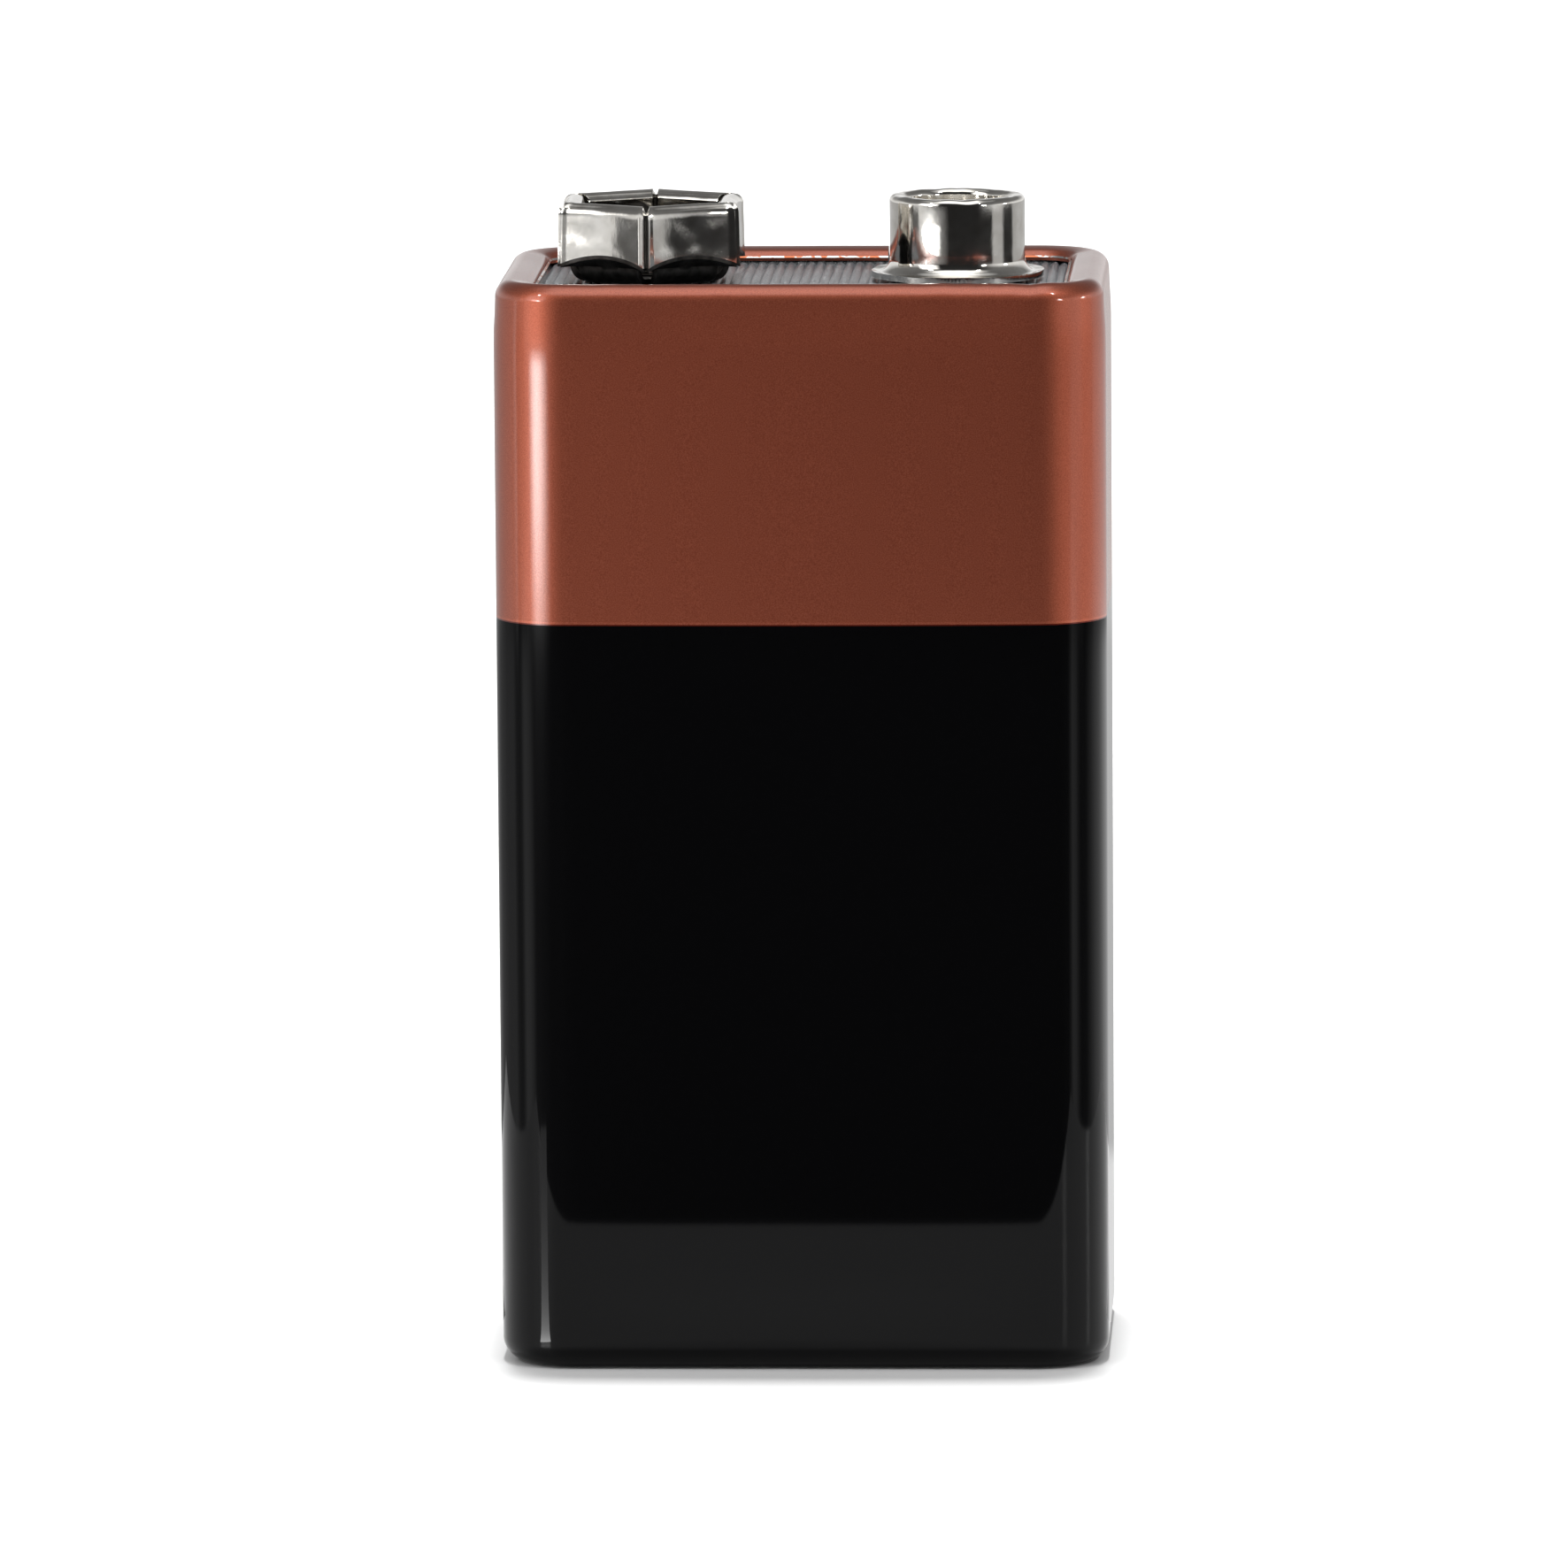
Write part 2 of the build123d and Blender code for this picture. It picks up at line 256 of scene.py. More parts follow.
# Unevenness: depth and size of a soft wave, and the seed that sets how it falls
wall_ripple = (0.003, 9.0, 0.0)
rim_ripple = (0.012, 4.0, 3.0)
rim_dent = (0.09, 0.9, 7.0)
rib_grains = ((0.01, 0.15, 5.0), (0.008, 0.5, 9.0))
stud_swell = (0.012, 1.7, 4.0)
stud_ripple = (0.012, 1.3, 8.0)
stud_flange_wave = (0.06, 1.2, 3.0)
stud_rim_dent = (0.035, 0.6, 6.0)
petal_dent = (0.012, 0.9, 2.0)
petal_dent_shift = 5.0
petal_dent_lift = 0.4

# Where the rolled rim is dented: place along x, reach and strength
rim_dent_places = ((8.6, 3.2, 1.0), (-5.5, 2.5, 0.5))

jacket_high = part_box("jacket")[1]
half_width = jacket_high.x / MM
half_depth = jacket_high.y / MM
body_height = jacket_high.z / MM
plate_low, plate_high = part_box("terminal_plate")
border_height = plate_high.z / MM
plate_underside = plate_low.z / MM
rib_crest_height = border_height - border_rise
valley_height = rib_crest_height - rib_height
land_height = rib_crest_height + land_rise
stud_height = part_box("positive_snap")[1].z / MM - land_height
snap_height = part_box("negative_snap")[1].z / MM - land_height
seam_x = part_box("bottom_strap_3")[0].x / MM / 2

# Sides of the jacket, and its materials in their order on the piece
RIGHT, BACK, LEFT, FRONT = range(4)
COPPER, BLACK, BARE, WORN = range(4)


def climb(value, start, end):
    """Eases from 0 at the start to 1 at the end, which may lie below the start."""
    part = min(1.0, max(0.0, (value - start) / (end - start)))
    return part * part * (3.0 - 2.0 * part)


def mesh_piece(name, points, faces, smooth_angle=35.0):
    """Mesh object from points in millimetres, smooth but for its sharp edges, on the root body."""
    mesh = bpy.data.meshes.new(name)
    mesh.from_pydata([Vector(point) * MM for point in points], [], faces)
    mesh.validate()
    mesh.shade_smooth()
    mesh.set_sharp_from_angle(angle=math.radians(smooth_angle))
    piece = bpy.data.objects.new(name, mesh)
    bpy.context.scene.collection.objects.link(piece)
    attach(piece, "root")
    return piece


def arc(centre, radius, start, end, steps):
    """Points of an arc in a section, angles in degrees."""
    points = []
    for step in range(steps + 1):
        angle = math.radians(start + (end - start) * step / steps)
        points.append((centre[0] + radius * math.cos(angle), centre[1] + radius * math.sin(angle)))
    return points


def wave(form, x, y, z=0.0):
    """Height of a soft wave at a place; its form is (depth, size, seed)."""
    depth, size, seed = form
    return depth * noise.noise(Vector((x / size + seed, y / size - seed, z / size + 2.0 * seed)))


# Jacket


def swell_at(height):
    """How far the walls are swollen at a height: none at the rims, full in the middle."""
    top = body_height - top_roll
    return climb(height, bottom_roll, bottom_roll + swell_rise) * climb(height, top, top - swell_rise)


def wall_point(side, along, height):
    """Place and outward direction on the jacket's outer wall.

    Along runs from -1 to 1 over the flat wall of a side, and from 1 to 2 round the corner that
    follows it, counterclockwise as seen from above.
    """
    facing_end = side in (RIGHT, LEFT)
    centre_out = (half_width if facing_end else half_depth) - corner_radius
    centre_along = (half_depth if facing_end else half_width) - corner_radius
    level = max(swell_at(height), least_swell)
    swell = (side_swell if facing_end else front_swell) * level
    next_swell = (front_swell if facing_end else side_swell) * level
    if along <= 1:
        turn = swell * along
        big = centre_along / math.sin(swell) + corner_radius
        run = big * math.sin(turn)
        out = centre_out + corner_radius * math.cos(swell) + big * (math.cos(turn) - math.cos(swell))
    else:
        turn = swell + (math.pi / 2 - swell - next_swell) * (along - 1)
        run = centre_along + corner_radius * math.sin(turn)
        out = centre_out + corner_radius * math.cos(turn)
    facing = side * math.pi / 2
    ahead = Vector((math.cos(facing), math.sin(facing)))
    aside = Vector((-math.sin(facing), math.cos(facing)))
    outward = ahead * math.cos(turn) + aside * math.sin(turn)
    return ahead * out + aside * run, outward


def jacket_stations():
    """Places round the jacket, from the seam at the back round and back to the seam."""
    seam_along = -seam_x / (half_width - corner_radius)
    gap = seam_gap / 2 / (half_width - corner_radius)
    corner_steps = 20
    stretches = [(BACK, seam_along + gap, 1, 26), (BACK, 1, 2, corner_steps)]
    for side, wall_steps in ((LEFT, 26), (FRONT, 44), (RIGHT, 26)):
        stretches += [(side, -1, 1, wall_steps), (side, 1, 2, corner_steps)]
    stretches.append((BACK, -1, seam_along - gap, 22))
    stations = []
    for side, first, last, steps in stretches:
        stations += [(side, first + (last - first) * step / steps) for step in range(steps)]
    stations.append((BACK, seam_along - gap))
    return stations


def lip_fall(inset, height):
    """How far the rolled lip has sunk at an inset: it falls from its crest towards the opening."""
    over_wall = height > body_height / 2
    return top_lip_slope * max(0.0, inset - top_roll) if over_wall else 0.0


def jacket_profile():
    """Closed section of the sheet as (inset, height, kind): printed outside, worn lip end, bare inside."""
    low = bottom_roll
    high = body_height - top_roll
    outer_levels = 64
    inner_levels = 16
    low_centre = (bottom_roll, bottom_roll)
    high_centre = (top_roll, high)
    turn_centre = (top_lip_width - top_turn, body_height - top_turn)
    heights = [low + (high - low) * step / outer_levels for step in range(1, outer_levels)]
    nearest = min(range(len(heights)), key=lambda index: abs(heights[index] - colour_split_height))
    heights[nearest] = colour_split_height
    outer = [(bottom_lip_width, 0.0)]
    outer += arc(low_centre, bottom_roll, 270, 180, steps=12)
    outer += [(0.0, height) for height in heights]
    outer += arc(high_centre, top_roll, 180, 90, steps=14)
    outer += arc(turn_centre, top_turn, 90, 0, steps=8)
    lip_end = body_height - top_lip_drop
    inside = sheet_thickness
    inner = [(top_lip_width - inside, lip_end)]
    inner += arc(turn_centre, top_turn - inside, 0, 90, steps=3)
    inner += arc(high_centre, top_roll - inside, 90, 180, steps=6)
    inner += [(inside, low + (high - low) * step / inner_levels) for step in range(inner_levels - 1, 0, -1)]
    inner += arc(low_centre, bottom_roll - inside, 180, 270, steps=6)
    inner += [(bottom_lip_width, inside)]
    profile = [(inset, height - lip_fall(inset, height), "print") for inset, height in outer]
    profile.append((top_lip_width, lip_end + worn_edge, "worn"))
    profile.append((top_lip_width + worn_edge, lip_end, "worn"))
    profile += [(inset, height, "bare") for inset, height in inner]
    return profile


def rim_wobble(x, y):
    """Unevenness of the rolled rim, strongest towards the front right."""
    near = 0.0
    for place, reach, strength in rim_dent_places:
        near += strength * math.exp(-(((x - place) / reach) ** 2))
    front = climb(-y, rim_front_start, rim_front_full)
    return wave(rim_ripple, x, y) + near * front * wave(rim_dent, x, 0.0)


def jacket_point(side, along, inset, height):
    """Place on the sheet at a station and a point of its section, with its unevenness."""
    place, outward = wall_point(side, along, height)
    spot = place - outward * inset
    on_rim = climb(height, body_height - rim_start, body_height - rim_full)
    shoulder_end = body_height - top_roll
    shoulder = shoulder_inset * climb(height, shoulder_end - shoulder_length, shoulder_end)
    spot += outward * (wave(wall_ripple, spot.x, spot.y, height) * (1.0 - on_rim) - shoulder)
    lift = (rim_wobble(spot.x, spot.y) - rim_sink) * on_rim
    return spot.x, spot.y, height + lift


def sheet_finish(start, end):
    """Number of the material between two points of the sheet's section."""
    kinds = {start[2], end[2]}
    if "bare" in kinds:
        return BARE
    if kinds == {"worn"}:
        return WORN
    middle = (start[1] + end[1]) / 2
    return BLACK if middle < colour_split_height else COPPER


def jacket_shell():
    """Rolled and lacquered tinplate jacket."""
    stations = jacket_stations()
    profile = jacket_profile()
    points = [
        jacket_point(side, along, inset, height) for side, along in stations for inset, height, _ in profile
    ]
    count = len(profile)
    faces = []
    finishes = []
    for here in range(0, (len(stations) - 1) * count, count):
        there = here + count
        for step in range(count):
            after = (step + 1) % count
            faces.append((here + step, there + step, there + after, here + after))
            finishes.append(sheet_finish(profile[step], profile[after]))
    last = (len(stations) - 1) * count
    faces.append(tuple(range(count)))
    faces.append(tuple(last + step for step in reversed(range(count))))
    finishes += [BARE, BARE]
    add_lap(points, faces, finishes)
    piece = mesh_piece("jacket_shell", points, faces)
    for finish in (copper_lacquer(), black_lacquer(), bare_tin(), worn_lacquer()):
        piece.data.materials.append(finish)
    piece.data.polygons.foreach_set("material_index", finishes)
    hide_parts("jacket")
    return piece


def add_lap(points, faces, finishes):
    """Inner strip behind the seam, from just over the base board to just under the spacer."""
    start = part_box("base_plate")[1].z / MM + lap_end_margin
    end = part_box("spacer")[0].z / MM - lap_end_margin
    outer = half_depth - sheet_thickness
    corners = ((0, 1, 3, 2), (4, 6, 7, 5), (0, 4, 5, 1), (2, 3, 7, 6), (0, 2, 6, 4), (1, 5, 7, 3))
    for low, high, finish in ((start, colour_split_height, BLACK), (colour_split_height, end, COPPER)):
        first = len(points)
        for x in (seam_x - lap_width / 2, seam_x + lap_width / 2):
            for y in (outer - sheet_thickness, outer + lap_bite):
                for z in (low, high):
                    points.append((x, y, z))
        for corner in corners:
            faces.append(tuple(first + index for index in corner))
            finishes.append(finish)


# Terminal board


def board_height(x, y, edge):
    """Height of the board's upper face at a place that lies a given distance from its edge."""
    half_field = (half_width - top_lip_width - border_reach, half_depth - top_lip_width - border_reach)
    if abs(x) > half_field[0] or abs(y) > half_field[1]:
        past = max(0.0, board_edge_round - edge)
        return border_height - board_edge_round + math.sqrt(board_edge_round**2 - past**2)
    for land_x, radius in ((-1, snap_base_radius), (1, stud_flange_radius - stud_land_overhang)):
        if math.hypot(x - land_x * terminal_spacing / 2, y) < radius:
            return land_height
    offset = (x / rib_pitch + 0.5) % 1.0 - 0.5
    roundness = math.sqrt(max(0.0, 1.0 - (2 * offset * rib_pitch / rib_width) ** 2))
    grain = sum(wave(form, x, y) for form in rib_grains)
    return valley_height + (rib_height + grain) * roundness


def terminal_board():
    """Closed board with fine ribs from front to back, a round land at each snap and a border."""
    width = plate_high.x / MM
    depth = plate_high.y / MM
    columns_per_rib = 4
    half_columns = math.ceil(width / rib_pitch * columns_per_rib)
    columns = 2 * half_columns
    rows = 132
    points = []
    for column in range(columns + 1):
        x = width * (column / half_columns - 1)
        past = max(0.0, abs(x) - width + board_radius)
        half = depth - board_radius + math.sqrt(board_radius**2 - past**2)
        for row in range(rows + 1):
            y = half * (2 * row / rows - 1)
            edge = min(half - abs(y), width - abs(x))
            points.append((x, y, board_height(x, y, edge)))
        points.append((x, half, plate_underside))
        points.append((x, -half, plate_underside))
    faces = []
    count = rows + 3
    for here in range(0, columns * count, count):
        there = here + count
        for row in range(count):
            after = (row + 1) % count
            faces.append((here + row, there + row, there + after, here + after))
    faces.append(tuple(reversed(range(count))))
    faces.append(tuple(columns * count + row for row in range(count)))
    board = mesh_piece("terminal_board", points, faces, smooth_angle=60.0)
    board.data.materials.append(board_material())
    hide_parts("terminal_plate")
    return board


# Snaps


def stud_unevenness(x, y, radius, height):
    """Factor on the stud's radius, and its lift: soft waves, a bent flange and a dented rim."""
    top = land_height + stud_height
    swell = 1.0 + wave(stud_swell, x, y, height) / radius
    on_flange = climb(radius, stud_flange_start, stud_flange_full)
    on_rim = climb(height, top - stud_rim_start, top - stud_rim_full)
    lift = wave(stud_ripple, x, y, height)
    lift += on_flange * (stud_flange_lift + wave(stud_flange_wave, x, y))
    lift += on_rim * wave(stud_rim_dent, x, y)
    return swell, lift


def turned_piece(name, profile, x, steps, uneven=None):
    """Closed section of (radius, height) turned about an upright axis, even or with its unevenness."""
    points = []
    for step in range(steps):
        angle = 2 * math.pi * step / steps
        for radius, height in profile:
            px = radius * math.cos(angle)
            py = radius * math.sin(angle)
            swell, lift = uneven(px, py, radius, height) if uneven else (1.0, 0.0)
            points.append((x + px * swell, py * swell, height + lift))
    faces = []
    count = len(profile)
    for step in range(steps):
        here = step * count
        there = (step + 1) % steps * count
        for index in range(count):
            after = (index + 1) % count
            faces.append((here + index, there + index, there + after, here + after))
    return mesh_piece(name, points, faces)


def positive_stud():
    """Drawn stud: floor, inner wall, rolled rim, outer wall and flange."""
    thick = stud_sheet
    base = land_height
    top = base + stud_height
    rim = stud_rim_round
    half_gap = (stud_head_radius - stud_bore_radius) / 2 - thick
    fold = ((stud_head_radius + stud_bore_radius) / 2, top - thick - half_gap)
    wall_start = base + thick + stud_flange_bend
    flange_centre = (stud_head_radius + stud_flange_bend, wall_start)
    floor_centre = (stud_bore_radius - stud_floor_bend, base + thick + stud_floor_bend)
    profile = [(stud_flange_radius, base), (stud_flange_radius, base + thick)]
    profile += arc(flange_centre, stud_flange_bend, 270, 180, steps=10)
    profile += [(stud_head_radius, wall_start + stud_wall_step * step) for step in range(1, 6)]
    profile += arc((stud_head_radius - rim, top - rim), rim, 0, 90, steps=8)
    profile += arc((stud_bore_radius + rim, top - rim), rim, 90, 180, steps=8)
    profile += arc(floor_centre, stud_floor_bend, 0, -90, steps=6)
    profile += [(rivet_hole_radius, base + thick), (rivet_hole_radius, base)]
    profile += arc(floor_centre, stud_floor_bend + thick, -90, 0, steps=6)
    profile += arc(fold, half_gap, 180, 0, steps=8)
    profile += arc(flange_centre, stud_flange_bend + thick, 180, 270, steps=8)
    piece = turned_piece("positive_stud", profile, terminal_spacing / 2, steps=192, uneven=stud_unevenness)
    piece.data.materials.append(bright_nickel())
    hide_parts("positive_snap")
    return piece


def bent_line(corners, radii, steps):
    """Points of a line through the corners with each inner corner rounded."""
    points = [Vector(corners[0])]
    for before, corner, after, radius in zip(corners, corners[1:], corners[2:], radii):
        corner = Vector(corner)
        into = (corner - Vector(before)).normalized()
        out = (Vector(after) - corner).normalized()
        turn = into.angle(out)
        reach = radius * math.tan(turn / 2)
        start = corner - into * reach
        side = Vector((-into.y, into.x))
        if side.dot(out) < 0:
            side = -side
        centre = start + side * radius
        for step in range(steps + 1):
            angle = turn * step / steps
            points.append(centre - side * radius * math.cos(angle) + into * radius * math.sin(angle))
    points.append(Vector(corners[-1]))
    return points


def snap_profile():
    """Section of a petal's outer face as (radius, height): base, wall, top fold and throat lip."""
    wall = snap_across_flats / 2
    throat = snap_throat_across_flats / 2
    crest_height = snap_height + snap_crest_rise
    lip_height = crest_height - (wall - throat) * math.tan(snap_lip_angle)
    corners = [
        (snap_foot_radius, 0.0),
        (wall + snap_wall_lean, 0.0),
        (wall, crest_height),
        (throat, lip_height),
        (throat + snap_lip_lean, lip_height - snap_lip_length),
    ]
    return bent_line(corners, [snap_bottom_bend, snap_top_bend, snap_lip_bend], steps=9)


def even_steps(points, longest):
    """The same line with its long runs divided."""
    line = [points[0]]
    for before, after in zip(points, points[1:]):
        steps = max(1, math.ceil((after - before).length / longest))
        line += [before.lerp(after, step / steps) for step in range(1, steps + 1)]
    return line


def petal_row(petal, radius, height, columns):
    """Points across a petal at one point of its section, from slot to slot."""
    half_turn = math.pi / petal_count
    facing = petal * 2 * half_turn
    ahead = Vector((math.cos(facing), math.sin(facing)))
    aside = Vector((-math.sin(facing), math.cos(facing)))
    wall = snap_across_flats / 2
    over_tip = height - snap_tip_height
    on_wall = climb(radius, wall - snap_face_start, wall - snap_face_full)
    neck = climb(over_tip, snap_neck_start, snap_neck_full)
    low_wall = climb(over_tip, snap_edge_start, snap_edge_full) * (1 - neck) * on_wall
    half = radius * math.tan(half_turn) - snap_slot_width / 2 / math.cos(half_turn)
    half = half * (1 - neck) + min(half, snap_neck_half) * neck
    points = []
    for column in range(columns + 1):
        v = 2 * column / columns - 1
        hollow = snap_face_hollow * (1 - v * v) * on_wall
        dent = wave(petal_dent, petal * petal_dent_shift + v * half, radius, height)
        flare = snap_edge_flare * climb(abs(v), snap_flare_start, 1.0) * on_wall
        spot = ahead * (radius - hollow + dent + flare - snap_neck_step * neck) + aside * v * half
        lift = low_wall * (snap_edge_arch * (1 - v * v) - snap_edge_tip * v * v)
        rise = land_height + height + lift + petal_dent_lift * dent
        points.append((spot.x - terminal_spacing / 2, spot.y, rise))
    return points


def negative_crown():
    """Hexagonal crown of six sprung petals, each a sheet with its own slots, tips and dents."""
    line = even_steps(snap_profile(), longest=0.16)
    columns = 44
    row = columns + 1
    points = []
    faces = []
    finishes = []
    for petal in range(petal_count):
        first = len(points)
        for radius, height in line:
            points += petal_row(petal, radius, height, columns)
        for step in range(len(line) - 1):
            # Faces low on the petals take the near-black nickel: painted shade under the crown
            in_painted_shade = line[step].y < snap_tip_height + snap_painted_shade_height
            for here in range(first + step * row, first + step * row + columns):
                faces.append((here, here + 1, here + row + 1, here + row))
                finishes.append(1 if in_painted_shade else 0)
    piece = mesh_piece("negative_crown", points, faces, smooth_angle=60.0)
    sheet = piece.modifiers.new("sheet", "SOLIDIFY")
    sheet.thickness = snap_sheet * MM
    sheet.offset = -1.0
    edge = piece.modifiers.new("edge", "BEVEL")
    edge.width = snap_edge_bevel * MM
    edge.segments = 3
    edge.limit_method = "ANGLE"
    edge.angle_limit = math.radians(50)
    piece.data.materials.append(bright_nickel())
    piece.data.materials.append(painted_shade_nickel())
    piece.data.polygons.foreach_set("material_index", finishes)
    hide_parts("negative_snap")
    return piece


def negative_base():
    """Round foot of the crown, from which its petals rise."""
    low = land_height
    high = land_height + snap_sheet
    disc = [(rivet_hole_radius, low), (snap_base_radius, low)]
    disc += [(snap_base_radius, high), (rivet_hole_radius, high)]
    base = turned_piece("negative_base", disc, -terminal_spacing / 2, steps=96)
    # The foot takes the near-black nickel: painted shade under the crown
    base.data.materials.append(painted_shade_nickel())
    return base


# Shader nodes


def feed(tree, socket, value):
    """Gives a socket a link, or a plain number."""
    if isinstance(value, (int, float)):
        socket.default_value = value
    else:
        tree.links.new(value, socket)


def math_node(tree, kind, *values):
    """Result of a sum on one or two values."""
    node = tree.nodes.new("ShaderNodeMath")
    node.operation = kind
    for socket, value in zip(node.inputs, values):
        feed(tree, socket, value)
    return node.outputs["Value"]


def mixed(tree, kind, factor, first, second):
    """Two colours, mixed, added or multiplied."""
    node = tree.nodes.new("ShaderNodeMix")
    node.data_type = "RGBA"
    node.blend_type = kind
    for name, value in (("Factor", factor), ("A", first), ("B", second)):
        feed(tree, node.inputs[name], value)
    return node.outputs["Result"]


def mapped(tree, value, start=(0.0, 1.0), end=(0.0, 1.0), kind="LINEAR"):
    """Maps a value from one range to another."""
    node = tree.nodes.new("ShaderNodeMapRange")
    node.interpolation_type = kind
    node.inputs["From Min"].default_value, node.inputs["From Max"].default_value = start
    node.inputs["To Min"].default_value, node.inputs["To Max"].default_value = end
    tree.links.new(value, node.inputs["Value"])
    return node.outputs["Result"]


def ramp(tree, value, stops):
    """Colour ramp over a value, with stops of (position, colour)."""
    node = tree.nodes.new("ShaderNodeValToRGB")
    while len(node.color_ramp.elements) < len(stops):
        node.color_ramp.elements.new(0.5)
    for element, (position, colour) in zip(node.color_ramp.elements, stops):
        element.position = position
        element.color = (*colour, 1.0)
    tree.links.new(value, node.inputs["Fac"])
    return node.outputs["Color"]


def place_in_object(tree):
    """The object's own coordinates, in metres."""
    return tree.nodes.new("ShaderNodeTexCoord").outputs["Object"]


def object_noise(tree, size, detail=2.0, stretch=(1, 1, 1)):
    """Noise over the object's own coordinates, with its size in millimetres."""
    mapping = tree.nodes.new("ShaderNodeMapping")
    mapping.inputs["Scale"].default_value = [1.0 / (size * MM * part) for part in stretch]
    texture = tree.nodes.new("ShaderNodeTexNoise")
    texture.inputs["Scale"].default_value = 1.0
    texture.inputs["Detail"].default_value = detail
    tree.links.new(place_in_object(tree), mapping.inputs["Vector"])
    tree.links.new(mapping.outputs["Vector"], texture.inputs["Vector"])
    return texture.outputs["Fac"]


def specks(tree, spacing, size, rarity):
    """Mask of small round specks: one in some of the cells of a loose grid, sizes in millimetres."""
    cells = tree.nodes.new("ShaderNodeTexVoronoi")
    cells.inputs["Scale"].default_value = 1.0 / (spacing * MM)
    tree.links.new(place_in_object(tree), cells.inputs["Vector"])
    chance = tree.nodes.new("ShaderNodeSeparateColor")
    tree.links.new(cells.outputs["Color"], chance.inputs["Color"])
    near = math_node(tree, "LESS_THAN", cells.outputs["Distance"], size / spacing)
    rare = math_node(tree, "GREATER_THAN", chance.outputs["Red"], rarity)
    return math_node(tree, "MULTIPLY", near, rare)


def height_above(tree, start, reach):
    """Value that climbs from 0 at a height to 1 at a reach above it, both in millimetres."""
    parts = tree.nodes.new("ShaderNodeSeparateXYZ")
    tree.links.new(place_in_object(tree), parts.inputs["Vector"])
    return mapped(tree, parts.outputs["Z"], (start * MM, (start + reach) * MM))


def bump(tree, shader, value, depth):
    """Bump of a depth in millimetres."""
    node = tree.nodes.new("ShaderNodeBump")
    node.inputs["Strength"].default_value = 1.0
    node.inputs["Distance"].default_value = depth * MM
    tree.links.new(value, node.inputs["Height"])
    tree.links.new(node.outputs["Normal"], shader.inputs["Normal"])


# Materials


def new_material(name, **inputs):
    """Material with a Principled shader whose sockets are set by name."""
    made = bpy.data.materials.new(name)
    made.use_nodes = True
    shader = made.node_tree.nodes["Principled BSDF"]
    for socket, value in inputs.items():
        shader.inputs[socket.replace("_", " ").title().replace("Ior", "IOR")].default_value = value
    return made, made.node_tree, shader


def follow(tree, shader, grain, stops, roughness):
    """Lets the colour follow a grain by a ramp, and the roughness from its first to its last value."""
    tree.links.new(ramp(tree, grain, stops), shader.inputs["Base Color"])
    tree.links.new(mapped(tree, grain, end=roughness), shader.inputs["Roughness"])


def copper_lacquer():
    """Satin copper print under clear lacquer, with a fine metallic grain, a painted line of shade and of
    highlight along its lower edge, and dust.
    """
    dark = (0.30, 0.070, 0.037)
    light = (0.45, 0.120, 0.066)
    painted_edge_shade = (0.3, 0.12, 0.1)
    painted_edge_highlight = (1.25, 1.3, 1.3)
    clean = (1.0, 1.0, 1.0)
    dusty = (0.15, 0.15, 0.15)
    made, tree, shader = new_material(
        "copper_lacquer", metallic=0.97, coat_weight=0.9, coat_roughness=0.09, coat_ior=1.5
    )
    grain = object_noise(tree, size=0.045)
    colour = ramp(tree, grain, ((0.3, dark), (0.7, light)))
    # Painted shade, then a painted highlight: thin darker and lighter lines just above the colour split
    edge_stops = ((0.3, painted_edge_shade), (0.4, painted_edge_highlight), (0.9, painted_edge_highlight), (1.0, clean))
    edge = ramp(tree, height_above(tree, colour_split_height, copper_edge), edge_stops)
    dust = ramp(tree, specks(tree, spacing=3.1, size=0.035, rarity=0.8), ((0.0, clean), (1.0, dusty)))
    colour = mixed(tree, "MULTIPLY", 1.0, mixed(tree, "MULTIPLY", 1.0, colour, edge), dust)
    tree.links.new(colour, shader.inputs["Base Color"])
    tree.links.new(mapped(tree, grain, end=(0.43, 0.5)), shader.inputs["Roughness"])
    bump(tree, shader, object_noise(tree, size=0.05), depth=0.002)
    return made


def black_lacquer():
    """Gloss black print with a few specks of dust."""
    black = (0.0012, 0.0012, 0.0014)
    dusty = (0.12, 0.12, 0.12)
    made, tree, shader = new_material("black_lacquer", metallic=0.0, ior=1.2, roughness=0.04)
    dust = specks(tree, spacing=2.6, size=0.03, rarity=0.8)
    tree.links.new(ramp(tree, dust, ((0.0, black), (1.0, dusty))), shader.inputs["Base Color"])
    return made


def worn_lacquer():
    """Copper lacquer that has worn off along the rim's cut edge, in short bright dashes."""
    copper = (0.62, 0.2, 0.1)
    metal = (0.92, 0.9, 0.88)
    made, tree, shader = new_material("worn_lacquer", metallic=1.0)
    wear = object_noise(tree, size=0.45)
    follow(tree, shader, wear, ((0.47, copper), (0.53, metal)), roughness=(0.3, 0.2))
    return made


def bare_tin():
    """Bare tinplate on the sheet's cut edges and inner face."""
    dark = (0.62, 0.60, 0.56)
    light = (0.82, 0.80, 0.76)
    made, tree, shader = new_material("bare_tin", metallic=1.0)
    grain = object_noise(tree, size=0.2, stretch=(1, 1, 6))
    follow(tree, shader, grain, ((0.3, dark), (0.7, light)), roughness=(0.22, 0.38))
    return made


def board_material():
    """Black moulded board with a fine fibrous grain and a few light flecks."""
    dark = (0.026, 0.029, 0.033)
    light = (0.09, 0.097, 0.105)
    fleck = (0.4, 0.41, 0.42)
    made, tree, shader = new_material("board_black", metallic=0.0, ior=1.6)
    fibre = object_noise(tree, size=0.07, detail=3.0, stretch=(1, 1.6, 1))
    follow(tree, shader, fibre, ((0.4, dark), (0.58, light), (0.68, fleck)), roughness=(0.36, 0.22))
    bump(tree, shader, fibre, depth=0.012)
    return made


